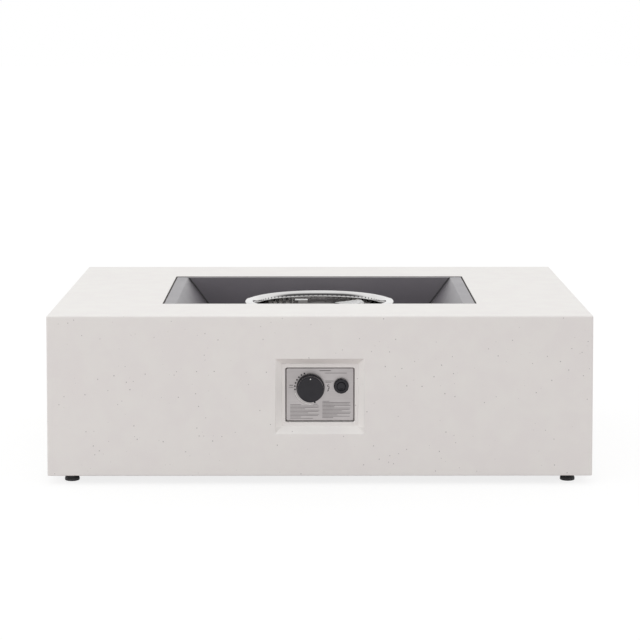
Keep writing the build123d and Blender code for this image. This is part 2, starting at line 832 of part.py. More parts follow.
def make_valve_stem():
    """The turning stem, with a flat where the knob grips it."""
    stem = rod(stem_radius, stem_back, knob_gap)
    stem += slab_of(stem_section(0.0), knob_gap - 1, knob_gap + knob_depth - 5)
    return knob_frame * stem


def make_control_knob():
    """The knob: bevelled skirt, plain barrel, hollow back and a boss with a D bore."""
    back = knob_gap
    front = knob_gap + knob_depth
    inner = knob_face - 3.5
    knob = turned(
        [
            (0, front),
            (knob_face, front),
            (knob_face + 0.6, back + 6.5),
            (knob_skirt, back + 3),
            (knob_skirt, back),
            (inner, back),
            (inner, front - 6),
            (8.0, front - 6),
            (8.0, back + 0.8),
            (0, back + 0.8),
        ],
        [(knob_face, front, 1.6), (knob_skirt, back + 3, 1.0), (inner, front - 6, 2.0)],
    )
    knob -= slab_of(stem_section(fit), back, front - 4.8)
    knob -= Pos(0, knob_face - 4.5, 0) * rod(1.2, front - 1, front + 1)
    return knob_frame * knob


def make_knob_dot():
    """The white dot let into the knob's face."""
    front = knob_gap + knob_depth
    return knob_frame * Pos(0, knob_face - 4.5, 0) * rod(1.2 - fit, front - 1, front)


def make_igniter_body():
    """The igniter housing: front flange and spigot, barrel with a battery bore, rear terminal."""
    body = turned(
        [
            (0, -igniter_end),
            (11, -igniter_end),
            (11, 0),
            (14, 0),
            (14, 2),
            (12, 2),
            (12, button_flange_high - 0.4),
            (10.4, button_flange_high - 0.4),
            (10.4, 1.2),
            (battery_radius + hole_slack, 1.2),
            (battery_radius + hole_slack, -battery_floor),
            (0, -battery_floor),
        ],
        [(11, -igniter_end, 1.5)],
    )
    body += rod(3.0, -igniter_back, 1 - igniter_end)
    return igniter_frame * body


def make_igniter_nut():
    """The ring nut that holds the igniter behind the panel."""
    return igniter_frame * Pos(0, 0, -panel_sheet - 6) * hex_nut(28, 6, 11 + fit)


def make_battery():
    """The battery in the igniter."""
    low = 0.8 - battery_floor
    cell = turned(
        [
            (0, low),
            (battery_radius, low),
            (battery_radius, low + battery_length - 1.5),
            (2.7, low + battery_length - 1.5),
            (2.7, low + battery_length),
            (0, low + battery_length),
        ],
        [(battery_radius, low, 0.6), (battery_radius, low + battery_length - 1.5, 0.8)],
    )
    return igniter_frame * cell


def make_battery_contact():
    """The contact plate under the battery."""
    disc = rod(6.0, -battery_floor, 0.8 - battery_floor)
    return igniter_frame * (disc - rod(2.0, -battery_floor - 1, 1 - battery_floor))


def make_igniter_cap():
    """The cap that screws over the housing's spigot and guides the button."""
    cap = turned(
        [
            (cap_radius, 2.0 + hole_slack),
            (cap_radius + 0.3, cap_height - 2.5),
            (cap_radius - 1.5, cap_height),
            (button_radius + running, cap_height - 0.8),
            (button_radius + running, button_flange_high + 0.2),
            (12 + hole_slack, button_flange_high + 0.2),
            (12 + hole_slack, 2.0 + hole_slack),
        ],
        [(cap_radius + 0.3, cap_height - 2.5, 1.5), (cap_radius - 1.5, cap_height, 0.7)],
    )
    groove = Pos(cap_radius + 1.0, 0, 0) * rod(1.4, 0, cap_height - 3)
    return igniter_frame * (cap - [Rot(0, 0, 30 * i) * groove for i in range(12)])


def make_igniter_button():
    """The push button: dished face, stem and the flange that keeps it in the cap."""
    button = turned(
        [
            (0, cap_height - 1.0),
            (button_radius - 2.5, cap_height - 0.6),
            (button_radius, cap_height + 0.4),
            (button_radius, button_flange_high),
            (9.8, button_flange_high),
            (9.8, button_flange_low),
            (3.0, button_flange_low),
            (3.0, 1.0),
            (0, 1.0),
        ],
        [(button_radius, cap_height + 0.4, 0.8)],
    )
    return igniter_frame * button


def build_all():
    """Every node of the fire pit by name."""
    nodes = {
        "cast_body": make_cast_body(),
        "foot_sleeves": make_foot_sleeves(),
        "fire_tray": make_fire_tray(),
        "burner_bowl": make_burner_bowl(),
        "bowl_bolts": make_bowl_bolts(),
        "bowl_nuts": make_bowl_nuts(),
        "burner_ring": make_burner_ring(),
        "hub_nut": make_hub_nut(),
        "pilot_hood": make_pilot_hood(),
        "spark_target": make_spark_target(),
        "small_screws": make_small_screws(),
        "electrode_insulator": make_electrode_insulator(),
        "electrode_rod": make_electrode_rod(),
        "thermocouple": make_thermocouple(),
        "thermocouple_nut": make_thermocouple_nut(),
        "air_mixer": make_air_mixer(),
        "gas_injector": make_gas_injector(),
        "injector_elbow": make_injector_elbow(),
        "gas_pipe": make_gas_pipe(),
        "pipe_nuts": make_pipe_nuts(),
        "thermocouple_lead": make_thermocouple_lead(),
        "ignition_lead": make_ignition_lead(),
        "control_panel": make_control_panel(),
        "panel_inserts": make_panel_inserts(),
        "panel_screws": make_panel_screws(),
        "gas_valve": make_gas_valve(),
        "valve_screws": make_valve_screws(),
        "magnet_unit": make_magnet_unit(),
        "inlet_fitting": make_inlet_fitting(),
        "valve_plunger": make_valve_plunger(),
        "valve_stem": make_valve_stem(),
        "control_knob": make_control_knob(),
        "knob_dot": make_knob_dot(),
        "igniter_body": make_igniter_body(),
        "igniter_nut": make_igniter_nut(),
        "battery": make_battery(),
        "battery_contact": make_battery_contact(),
        "igniter_cap": make_igniter_cap(),
        "igniter_button": make_igniter_button(),
    }
    foot = make_foot_pad()
    stud = make_foot_stud()
    for name, (x, y) in foot_places.items():
        nodes["foot_" + name] = Pos(x, y, 0) * foot
        nodes["stud_" + name] = Pos(x, y, 0) * stud
    return nodes


os.makedirs("parts", exist_ok=True)
for node_name, node_part in build_all().items():
    export_step(node_part, "parts/" + node_name + ".step")
    print(node_name, round(sum(s.volume for s in node_part.solids())))
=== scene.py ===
"""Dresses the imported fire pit: finishes, finer spun and moulded parts, dial print, studio and camera."""

import logging
import math
from collections.abc import Sequence
from dataclasses import dataclass
from enum import Enum

import bmesh
import bpy
from mathutils import Matrix, Vector


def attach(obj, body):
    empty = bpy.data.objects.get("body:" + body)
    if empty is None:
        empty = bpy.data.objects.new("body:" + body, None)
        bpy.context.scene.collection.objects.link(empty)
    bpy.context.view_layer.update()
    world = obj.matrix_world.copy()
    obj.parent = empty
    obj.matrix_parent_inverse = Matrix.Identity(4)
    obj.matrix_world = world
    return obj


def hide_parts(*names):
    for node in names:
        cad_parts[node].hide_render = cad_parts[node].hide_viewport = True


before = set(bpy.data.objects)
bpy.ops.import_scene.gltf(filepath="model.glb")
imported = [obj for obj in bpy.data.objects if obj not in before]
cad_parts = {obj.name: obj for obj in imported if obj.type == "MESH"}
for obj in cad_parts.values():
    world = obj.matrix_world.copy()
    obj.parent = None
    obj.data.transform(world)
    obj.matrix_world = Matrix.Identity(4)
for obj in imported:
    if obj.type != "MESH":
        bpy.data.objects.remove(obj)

log = logging.getLogger("fire_pit")
Mesh = bmesh.types.BMesh
Material = bpy.types.Material
Colour = tuple[float, float, float, float]
Triple = tuple[float, float, float]
Span = tuple[float, float]
Feeds = dict[str | int, object]

# A noise's cells per metre and its octaves.
Fineness = tuple[float, float]

# Sizes are written in millimetres and meshes are made in metres.
MM = 1000.0

# Depth of the finest surface marks, in metres.
FINE_RELIEF = 0.0002


def tone(red: float, green: float, blue: float) -> Colour:
    """Turns a display colour of 0 to 255 into the linear colour that shaders take.

    Args:
        red: Red as displayed.
        green: Green as displayed.
        blue: Blue as displayed.

    Returns:
        The linear colour with full alpha.
    """
    def linear(value: float) -> float:
        """One channel in linear light."""
        share = value / 255
        return share / 12.92 if share <= 0.04045 else ((share + 0.055) / 1.055) ** 2.4

    return (linear(red), linear(green), linear(blue), 1.0)


@dataclass(frozen=True)
class Layer:
    """One layer of noise: its cells per metre, its octaves and its share of the sum."""

    scale: float
    detail: float
    weight: float


class Wire:
    """A value in a shader. Arithmetic on wires adds Math nodes."""

    def __init__(self, graph: "Graph", socket: bpy.types.NodeSocket) -> None:
        """Wraps an output socket of a graph's node."""
        self.graph = graph
        self.socket = socket

    def __add__(self, other: "Wire | float") -> "Wire":
        """Sum."""
        return self.graph.math("ADD", self, other)

    def __sub__(self, other: "Wire | float") -> "Wire":
        """Difference."""
        return self.graph.math("SUBTRACT", self, other)

    def __rsub__(self, other: float) -> "Wire":
        """Difference from a number."""
        return self.graph.math("SUBTRACT", other, self)

    def __mul__(self, other: "Wire | float") -> "Wire":
        """Product."""
        return self.graph.math("MULTIPLY", self, other)

    def __lt__(self, other: float) -> "Wire":
        """One where the value is less than a number, else nought."""
        return self.graph.math("LESS_THAN", self, other)

    def __gt__(self, other: float) -> "Wire":
        """One where the value is greater than a number, else nought."""
        return self.graph.math("GREATER_THAN", self, other)

    def __abs__(self) -> "Wire":
        """The value without its sign."""
        return self.graph.math("ABSOLUTE", self)

    def ramp(self, low: float, high: float) -> "Wire":
        """A smooth step from nought at low to one at high."""
        edges = {"Value": self, "From Min": low, "From Max": high}
        return self.graph.wire("MapRange", edges, interpolation_type="SMOOTHSTEP")

    __radd__ = __add__
    __rmul__ = __mul__


class Graph:
    """A node tree that is filled from one method."""

    # Cells per metre of the noise that makes the outlines of scattered points wander.
    OUTLINE_SCALE = 420.0

    def __init__(self, tree: bpy.types.NodeTree) -> None:
        """Starts with an empty tree."""
        self.tree = tree
        tree.nodes.clear()

    def node(self, kind: str, feeds: Feeds | None = None, **settings: object) -> bpy.types.Node:
        """Adds one node.

        Args:
            kind: The node's type without its prefix.
            feeds: Wires or plain values by the input's name or number.
            settings: Properties, set before the inputs.

        Returns:
            The new node.
        """
        made = self.tree.nodes.new("ShaderNode" + kind)
        for key, value in settings.items():
            setattr(made, key, value)
        for key, value in (feeds or {}).items():
            if isinstance(value, Wire):
                self.tree.links.new(value.socket, made.inputs[key])
            else:
                made.inputs[key].default_value = value
        return made

    def wire(self, kind: str, feeds: Feeds | None = None, output: str | int = 0, **settings: object) -> Wire:
        """One output of a new node."""
        return Wire(self, self.node(kind, feeds, **settings).outputs[output])

    def math(self, operation: str, first: Wire | float, second: Wire | float = 0.0) -> Wire:
        """The result of a Math node, by Blender's name of the operation."""
        return self.wire("Math", {0: first, 1: second}, operation=operation)

    def place(self) -> Wire:
        """The point on the surface, in the object's own metres."""
        return self.wire("TexCoord", output="Object")

    def axes(self) -> tuple[Wire, Wire, Wire]:
        """The point's X, Y and Z."""
        made = self.node("SeparateXYZ", {0: self.place()})
        return tuple(Wire(self, socket) for socket in made.outputs)

    def point(self, x: Wire | float, y: Wire | float, z: Wire | float) -> Wire:
        """A vector from three values."""
        return self.wire("CombineXYZ", {0: x, 1: y, 2: z})

    def noise(self, scale: float, detail: float, vector: Wire | None = None, rough: float = 0.5) -> Wire:
        """Soft noise from nought to one, read at a vector or at the surface's own point."""
        where = vector or self.place()
        return self.wire("TexNoise", {"Vector": where, "Scale": scale, "Detail": detail, "Roughness": rough})

    def stretched(self, marks: Triple, detail: float, rough: float = 0.5) -> Wire:
        """Soft noise with its own number of marks per metre along X, Y and Z."""
        x, y, z = self.axes()
        return self.noise(1.0, detail, self.point(x * marks[0], y * marks[1], z * marks[2]), rough)

    def layers(self, *layers: Layer) -> Wire:
        """The weighted sum of one or more layers of noise."""
        parts = [self.noise(layer.scale, layer.detail) * layer.weight for layer in layers]
        return sum(parts[1:], parts[0])

    def cells(self, scale: float, ragged: float) -> tuple[Wire, Wire]:
        """Scattered points.

        Args:
            scale: Points per metre.
            ragged: How far their outlines wander, in metres.

        Returns:
            Distance to the nearest point in cells, and a random value of that point.
        """
        wander = self.wire("TexNoise", {"Vector": self.place(), "Scale": self.OUTLINE_SCALE}, "Color")
        shift = {0: wander, 1: (ragged, ragged, ragged), 2: self.place()}
        where = self.wire("VectorMath", shift, operation="MULTIPLY_ADD")
        made = self.node("TexVoronoi", {"Vector": where, "Scale": scale}, feature="F1")
        lot = self.wire("SeparateColor", {0: Wire(self, made.outputs["Color"])})
        return Wire(self, made.outputs["Distance"]), lot

    def blend(self, share: Wire, first: Wire | Colour, second: Wire | Colour) -> Wire:
        """A colour between two, the first where the share is nought."""
        return self.wire("Mix", {0: share, 6: first, 7: second}, 2, data_type="RGBA")

    def bump(self, height: Wire, strength: float, depth: float = FINE_RELIEF) -> Wire:
        """A surface normal from a height of nought to one, with a depth in metres."""
        return self.wire("Bump", {"Height": height, "Strength": strength, "Distance": depth})

    def ray(self, kind: str) -> Wire:
        """One for rays of a kind, else nought."""
        return self.wire("LightPath", output=f"Is {kind} Ray")

    def seen_directly(self) -> Wire:
        """One for camera, glossy and transmission rays, else nought."""
        mirrored = self.math("MAXIMUM", self.ray("Glossy"), self.ray("Transmission"))
        return self.math("MAXIMUM", self.ray("Camera"), mirrored)


class Paint(Graph):
    """The node graph of one material."""

    def __init__(self, name: str) -> None:
        """Starts a new material."""
        self.material = bpy.data.materials.new(name)
        self.material.use_nodes = True
        super().__init__(self.material.node_tree)

    def finish(self, closure: Wire) -> Material:
        """Puts a closure on the output and returns the material."""
        self.node("OutputMaterial", {0: closure})
        return self.material

    def surface(self, **feeds: object) -> Material:
        """Finishes with a Principled shader, its sockets named with underscores for spaces."""
        named = {key.replace("_", " "): value for key, value in feeds.items()}
        return self.finish(self.wire("BsdfPrincipled", named))


@dataclass(frozen=True)
class Pinholes:
    """Small hollows scattered through a cast surface.

    Attributes:
        scale: Points per metre.
        ragged: How far their outlines wander, in metres.
        edge: Distances in cells between which they fade out.
        skipped: Share of the points without one.
    """

    scale: float
    ragged: float
    edge: Span
    skipped: float

    def lay(self, graph: Graph) -> Wire:
        """One in the hollows of a graph's surface, else nought."""
        distance, lot = graph.cells(self.scale, self.ragged)
        return (1.0 - distance.ramp(*self.edge)) * (lot > self.skipped)


@dataclass(frozen=True)
class Concrete:
    """Pale cast fibre concrete with clouding, fine grain, and scattered pinholes in the sides, darkened by
    painted shade.

    Painted shade darkens the tray's joint, and painted light makes the upper and side chamfers of the pocket
    paler. Places are in metres, and the painted light's start and end are measured from the front's Y.
    """

    name: str = "cast_concrete"
    light: Colour = tone(241, 239, 237)
    dark: Colour = tone(239, 236, 235)
    clouds: tuple[Layer, ...] = (Layer(5.5, 3.0, 0.3), Layer(24.0, 5.0, 0.7))
    cloud_edge: Span = (0.36, 0.64)
    # Painted shade for the tray's joint.
    joint_shade: Colour = tone(96, 92, 90)
    joint_half: Span = (0.3285, 0.2255)
    joint_z: Span = (0.3424, 0.3432)
    # Painted light that makes the pocket's upper and side chamfers paler, and where it lies.
    pocket_light: Colour = tone(250, 248, 246)
    pocket_light_half: float = 0.0905
    pocket_light_z: Span = (0.1165, 0.2585)
    pocket_light_start: Span = (0.0005, 0.002)
    pocket_light_end: Span = (0.0125, 0.0137)
    front: float = -0.39835
    # Painted shade that darkens the pinholes, and how strongly.
    pit_shade: Colour = tone(150, 146, 148)
    pit_shade_share: float = 0.66
    pits: Pinholes = Pinholes(62.0, 0.0016, (0.054, 0.083), 0.15)
    fine_pits: Pinholes = Pinholes(90.0, 0.0008, (0.05, 0.09), 0.7)
    fine_share: float = 0.5
    sides_top: float = 0.3425
    grain: tuple[Layer, ...] = (Layer(420.0, 3.0, 0.35), Layer(60.0, 4.0, 0.25))
    grain_bump: float = 0.12
    grain_depth: float = 0.0012
    dullness: Layer = Layer(35.0, 3.0, 0.12)
    rough: float = 0.76
    shine: float = 0.3

    def paint(self) -> Material:
        """Makes the material.

        Returns:
            The material.
        """
        graph = Paint(self.name)
        x, y, z = graph.axes()
        hollow = graph.math("MAXIMUM", self.pits.lay(graph), self.fine_pits.lay(graph) * self.fine_share)
        hollow = hollow * (z < self.sides_top)
        colour = graph.blend(graph.layers(*self.clouds).ramp(*self.cloud_edge), self.light, self.dark)
        behind = y - self.front
        inward = behind.ramp(*self.pocket_light_start) * (1.0 - behind.ramp(*self.pocket_light_end))
        in_pocket = (abs(x) < self.pocket_light_half) * (z > self.pocket_light_z[0]) * (z < self.pocket_light_z[1])
        # Painted light pales the pocket's upper and side chamfers.
        colour = graph.blend(inward * in_pocket, colour, self.pocket_light)
        # Painted shade darkens the pinholes.
        colour = graph.blend(hollow * self.pit_shade_share, colour, self.pit_shade)
        in_joint = (abs(x) < self.joint_half[0]) * (abs(y) < self.joint_half[1])
        # Painted shade darkens the tray's joint below the top.
        colour = graph.blend(in_joint * (1.0 - z.ramp(*self.joint_z)), colour, self.joint_shade)
        return graph.surface(
            Base_Color=colour,
            Roughness=graph.layers(self.dullness) + self.rough,
            Normal=graph.bump(graph.layers(*self.grain) - hollow, self.grain_bump, self.grain_depth),
            Specular_IOR_Level=self.shine,
        )


@dataclass(frozen=True)
class Coating:
    """Baked powder coat: soft sheen, orange-peel bump, faint streaks and painted shade in the tray's
    corners.

    The painted shade lies where the sloped ends meet the upright walls. Places are in metres: the end's X is
    at the top's Z, and the slope is X per Z.
    """

    name: str
    colour: Colour
    worn: Colour
    # Painted shade for the creases where the ends meet the walls.
    crease_shade_tone: Colour
    gloss: float = 0.45
    sheen: float = 1.0
    coat: float = 0.9
    drift: Fineness = (9.0, 4.0)
    speck: Fineness = (2600.0, 1.0)
    shares: Span = (0.7, 0.3)
    wear_edge: Span = (0.35, 0.68)
    streak: float = 0.16
    peel: Fineness = (1500.0, 2.0)
    peel_bump: float = 0.1
    end_x: float = 0.2995
    wall_y: float = 0.211
    top_z: float = 0.342
    slope: float = 0.7427
    crease_shade_edge: Span = (0.0022, 0.0042)
    crease_dullness: float = 0.4

    def paint(self) -> Material:
        """Makes the material.

        Returns:
            The material.
        """
        graph = Paint(self.name)
        drift = graph.noise(*self.drift)
        wear = drift * self.shares[0] + graph.noise(*self.speck) * self.shares[1]
        colour = graph.blend(wear.ramp(*self.wear_edge), self.colour, self.worn)
        x, y, z = graph.axes()
        upright = (1 + self.slope**2) ** -0.5
        from_end = (self.end_x - (self.top_z - z) * self.slope - abs(x)) * upright
        from_wall = self.wall_y - abs(y)
        apart = graph.math("SQRT", from_end * from_end + from_wall * from_wall)
        # Painted shade darkens the creases, which are also rougher.
        crease_shade = 1.0 - apart.ramp(*self.crease_shade_edge)
        return graph.surface(
            Base_Color=graph.blend(crease_shade, colour, self.crease_shade_tone),
            Roughness=drift * self.streak + crease_shade * self.crease_dullness + (self.gloss - self.streak / 2),
            Normal=graph.bump(graph.noise(*self.peel), self.peel_bump),
            Specular_IOR_Level=self.sheen,
            Coat_Weight=self.coat,
            Coat_Roughness=self.gloss,
        )


class Grain(Enum):
    """How a metal surface was worked."""

    BRUSHED = "brushed along X"
    TURNED = "turned about the upright axis"
    ROLLED = "rolled or drawn"
    CAST = "cast and blasted"


@dataclass(frozen=True)
class Metal:
    """Bare metal with the marks of how it was worked."""

    name: str
    colour: Colour
    tint: Colour
    rough: float
    grain: Grain
    marks: float = 0.08
    spread: float = 0.12
    brush: Triple = (14.0, 40.0, 2600.0)
    brush_waves: Triple = (3.0, 9.0, 520.0)
    brush_shares: Span = (0.7, 0.3)
    turning: float = 1500.0
    turning_share: float = 0.8
    turning_waves: Layer = Layer(40.0, 2.0, 0.2)
    blasting: Fineness = (900.0, 4.0)
    rolling: tuple[Layer, ...] = (Layer(260.0, 3.0, 0.6), Layer(24.0, 3.0, 0.4))
    cloud: Fineness = (16.0, 3.0)
    cloud_spread: float = 0.6
    tint_edge: Span = (0.3, 0.7)

    def lay(self, graph: Graph) -> Wire:
        """The height of the work marks.

        Args:
            graph: The material's graph.

        Returns:
            A value from nought to one.
        """
        if self.grain is Grain.BRUSHED:
            fine = graph.stretched(self.brush, 3.0, 0.7) * self.brush_shares[0]
            return fine + graph.stretched(self.brush_waves, 2.0) * self.brush_shares[1]
        if self.grain is Grain.TURNED:
            x, y, z = graph.axes()
            radius = graph.math("SQRT", x * x + y * y)
            fine = graph.noise(1.0, 3.0, graph.point(radius * self.turning, z * self.turning, 0.0), 0.65)
            return fine * self.turning_share + graph.layers(self.turning_waves)
        if self.grain is Grain.CAST:
            return graph.noise(*self.blasting, rough=0.6)
        return graph.layers(*self.rolling)

    def paint(self) -> Material:
        """Makes the material.

        Returns:
            The material.
        """
        graph = Paint(self.name)
        lay = self.lay(graph)
        cloud = graph.noise(*self.cloud)
        colour = graph.blend((lay * 0.5 + cloud * 0.5).ramp(*self.tint_edge), self.colour, self.tint)
        smoothest = self.rough - self.spread * (1 + self.cloud_spread) / 2
        return graph.surface(
            Base_Color=colour,
            Metallic=1.0,
            Roughness=lay * self.spread + cloud * (self.spread * self.cloud_spread) + smoothest,
            Normal=graph.bump(lay, self.marks),
        )


@dataclass(frozen=True)
class DarkSidedSheet:
    """Bright sheet that is dark on one side of a plane.

    The plane's normal is towards the bright side. Its distance, the fade and the wander are in metres.
    """

    name: str
    bright: Colour
    dark_side: Colour
    normal: Triple
    distance: float
    bare: float = 1.0
    fade: Span = (0.0015, 0.005)
    wander: float = 0.003
    haze: Fineness = (70.0, 4.0)
    haze_dullness: float = 0.12
    dark_dullness: float = 0.5
    rough: float = 0.16
    grain: Fineness = (500.0, 2.0)
    grain_bump: float = 0.04

    def paint(self) -> Material:
        """Makes the material.

        Returns:
            The material.
        """
        graph = Paint(self.name)
        haze = graph.noise(*self.haze)
        across, along, upward = self.normal
        x, y, z = graph.axes()
        inward = x * across + y * along + z * upward + haze * self.wander - self.distance
        # Darker past the plane: on the hood this is painted shade.
        darkened = 1.0 - inward.ramp(*self.fade)
        return graph.surface(
            Base_Color=graph.blend(darkened, self.bright, self.dark_side),
            Metallic=(1.0 - darkened) * self.bare,
            Roughness=haze * self.haze_dullness + darkened * self.dark_dullness + self.rough,
            Normal=graph.bump(graph.noise(*self.grain), self.grain_bump),
        )


@dataclass(frozen=True)
class Moulded:
    """Moulded plastic, rubber or glazed stuff with a fine spark texture."""

    name: str
    colour: Colour
    worn: Colour
    rough: float = 0.5
    texture: float = 0.1
    shine: float = 0.5
    cloud: Fineness = (60.0, 3.0)
    grit: Fineness = (1800.0, 2.0)
    shares: Span = (0.6, 0.4)
    wear_edge: Span = (0.35, 0.7)
    cloud_dullness: float = 0.1
    grit_dullness: float = 0.08

    def paint(self) -> Material:
        """Makes the material.

        Returns:
            The material.
        """
        graph = Paint(self.name)
        cloud = graph.noise(*self.cloud)
        speck = graph.noise(*self.grit)
        wear = cloud * self.shares[0] + speck * self.shares[1]
        smoothest = self.rough - (self.cloud_dullness + self.grit_dullness) / 2
        return graph.surface(
            Base_Color=graph.blend(wear.ramp(*self.wear_edge), self.colour, self.worn),
            Roughness=cloud * self.cloud_dullness + speck * self.grit_dullness + smoothest,
            Normal=graph.bump(speck, self.texture),
            Specular_IOR_Level=self.shine,
        )


Finish = Concrete | Coating | Metal | DarkSidedSheet | Moulded


class Finishes:
    """The finishes of the fire pit, each painted once."""

    concrete = Concrete()
    # The tray's third colour is painted shade for its creases.
    tray = Coating("tray_coating", tone(108, 103, 110), tone(101, 96, 104), tone(44, 42, 46))
    spun = Metal("spun_steel", tone(228, 227, 226), tone(214, 213, 212), 0.06, Grain.TURNED, 0.02, 0.03)
    brushed = Metal("brushed_panel", tone(188, 183, 183), tone(172, 167, 167), 0.34, Grain.BRUSHED, 0.12)
    # The hood's dark end is painted shade, standing in for its end wall in shadow.
    hood = DarkSidedSheet("hood_steel", tone(232, 232, 231), tone(26, 25, 26), (1.0, 0.3833, 0.0), 0.0516)
    # The target is darker below a height.
    target = DarkSidedSheet(
        "target_steel", tone(246, 246, 245), tone(150, 147, 146), (0.0, 0.0, 1.0), 0.3095,
        bare=0.3, fade=(0.0, 0.001), wander=0.0,
    )
    burner = Metal("burner_steel", tone(158, 156, 158), tone(130, 127, 128), 0.34, Grain.ROLLED)
    zinc = Metal("zinc_plate", tone(186, 188, 192), tone(168, 170, 172), 0.32, Grain.ROLLED)
    brass = Metal("brass", tone(206, 172, 98), tone(184, 148, 78), 0.3, Grain.ROLLED)
    pipe = Metal("drawn_aluminium", tone(204, 206, 208), tone(188, 190, 192), 0.34, Grain.ROLLED)
    alloy = Metal("cast_alloy", tone(170, 170, 170), tone(148, 148, 148), 0.5, Grain.CAST, 0.25)
    copper = Metal("copper", tone(206, 132, 96), tone(172, 100, 70), 0.34, Grain.ROLLED)
    ceramic = Moulded("ceramic", tone(234, 230, 222), tone(222, 216, 206), 0.4, 0.06)
    sleeve = Moulded("lead_sleeve", tone(54, 52, 52), tone(44, 42, 42), 0.62, 0.14)
    plastic = Moulded("black_plastic", tone(36, 34, 40), tone(30, 28, 34), 0.22, 0.03, shine=0.34)
    rubber = Moulded("foot_rubber", tone(44, 44, 46), tone(36, 36, 38), 0.6, 0.16)
    wrap = Moulded("battery_wrap", tone(76, 80, 88), tone(62, 66, 74), 0.3, 0.03)
    ink = Moulded("grey_ink", tone(20, 18, 21), tone(16, 14, 17), 0.6, 0.03, shine=0.1)
    faint_ink = Moulded("faint_ink", tone(96, 91, 92), tone(86, 82, 83), 0.6, 0.03, shine=0.1)
    white_ink = Moulded("white_ink", tone(240, 240, 238), tone(230, 230, 228), 0.5, 0.03)
    made: dict[Finish, Material] = {}

    @classmethod
    def of(cls, finish: Finish) -> Material:
        """The material of a finish, painted when it is first asked for.

        Args:
            finish: One of the finishes.

        Returns:
            The material.
        """
        if finish not in cls.made:
            cls.made[finish] = finish.paint()
        return cls.made[finish]


def dress(finish: Finish, *nodes: str) -> None:
    """Gives CAD nodes a finish.

    Args:
        finish: One of the finishes.
        nodes: Names of the nodes.
    """
    for name in nodes:
        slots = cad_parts[name].data.materials
        slots.clear()
        slots.append(Finishes.of(finish))
        log.info("dressed %s in %s", name, finish.name)


@dataclass(frozen=True)
class Turn:
    """One corner of a turned profile: its place and its rounding in millimetres."""

    radius: float
    height: float
    rounding: float = 0.0


class Shop:
    """Makes meshes with bmesh operators and hands them over as pieces."""

    # Distances in metres: between points that are joined, and between a ring and what lies on it.
    JOINED = 1e-6
    ON_RING = 1e-5
    ROUNDING_STEPS = 4

    @staticmethod
    def lathe(profile: Sequence[Turn], steps: int, closed: bool = True) -> Mesh:
        """Spins a profile about Z and rounds its corners.

        Args:
            profile: Corners of the profile.
            steps: Segments round the axis.
            closed: Whether the profile's last corner joins its first.

        Returns:
            The turned mesh in metres.
        """
        mesh = bmesh.new()
        points = [mesh.verts.new((turn.radius / MM, 0.0, turn.height / MM)) for turn in profile]
        pairs = list(zip(points, points[1:]))
        if closed:
            pairs.append((points[-1], points[0]))
        edges = [mesh.edges.new(pair) for pair in pairs]
        around = {"cent": (0, 0, 0), "axis": (0, 0, 1), "angle": math.tau}
        bmesh.ops.spin(mesh, geom=points + edges, steps=steps, use_merge=True, **around)
        bmesh.ops.remove_doubles(mesh, verts=mesh.verts, dist=Shop.JOINED)
        bmesh.ops.recalc_face_normals(mesh, faces=mesh.faces)
        for turn in profile:
            if turn.rounding:
                Shop.round_ring(mesh, turn)
        return mesh

    @staticmethod
    def round_ring(mesh: Mesh, turn: Turn) -> None:
        """Bevels the ring of edges that a profile's corner has become.

        Args:
            mesh: The turned mesh.
            turn: The corner.
        """
        def on_ring(vert: bmesh.types.BMVert) -> bool:
            """Whether a vertex lies on the corner's ring."""
            outward = math.hypot(vert.co.x, vert.co.y) - turn.radius / MM
            upward = vert.co.z - turn.height / MM
            return abs(outward) < Shop.ON_RING and abs(upward) < Shop.ON_RING

        ring = [edge for edge in mesh.edges if on_ring(edge.verts[0]) and on_ring(edge.verts[1])]
        bmesh.ops.bevel(
            mesh,
            geom=ring,
            offset=turn.rounding / MM,
            offset_type="OFFSET",
            affect="EDGES",
            segments=Shop.ROUNDING_STEPS,
            profile=0.5,
            material=-1,
        )

    @staticmethod
    def face_out(mesh: Mesh) -> None:
        """Turns the faces of a flat mesh towards its Z.

        Args:
            mesh: The flat mesh.
        """
        mesh.normal_update()
        wrong = [face for face in mesh.faces if face.normal.z < 0]
        if wrong:
            bmesh.ops.reverse_faces(mesh, faces=wrong)

    @staticmethod
    def piece(
        name: str, mesh: Mesh, body: str, finish: Finish, slot: str, place: Matrix, sharp: float = 40.0
    ) -> bpy.types.Object:
        """Turns a mesh into a piece of the object.

        Args:
            name: The piece's name.
            mesh: Its mesh, which is used up.
            body: The body that it rides on.
            finish: Its finish.
            slot: The record's material slot; not used.
            place: Where the mesh goes.
            sharp: Angle in degrees past which an edge stays sharp.

        Returns:
            The piece, at the origin with its place in its mesh.
        """
        bmesh.ops.transform(mesh, matrix=place, verts=mesh.verts)
        data = bpy.data.meshes.new(name)
        mesh.to_mesh(data)
        mesh.free()
        data.shade_smooth()
        data.set_sharp_from_angle(angle=math.radians(sharp))
        data.materials.append(Finishes.of(finish))
        made = bpy.data.objects.new(name, data)
        bpy.context.scene.collection.objects.link(made)
        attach(made, body)
        log.info("made %s on %s, %d faces", name, body, len(data.polygons))
        return made

    @staticmethod
    def even_out(piece: bpy.types.Object) -> None:
        """Lets large faces stay true, so that only the roundings shade round."""
        weights = piece.modifiers.new("even", "WEIGHTED_NORMAL")
        weights.keep_sharp = True


@dataclass
class CastTable:
    """The concrete body and what is cast into it."""

    def dress(self) -> None:
        """Dresses the body, its sleeves and its inserts."""
        dress(Finishes.concrete, "cast_body")
        dress(Finishes.brass, "foot_sleeves", "panel_inserts")


@dataclass
class FireTray:
    """The coated tray let into the table top."""

    def dress(self) -> None:
        """Dresses the tray."""
        dress(Finishes.tray, "fire_tray")


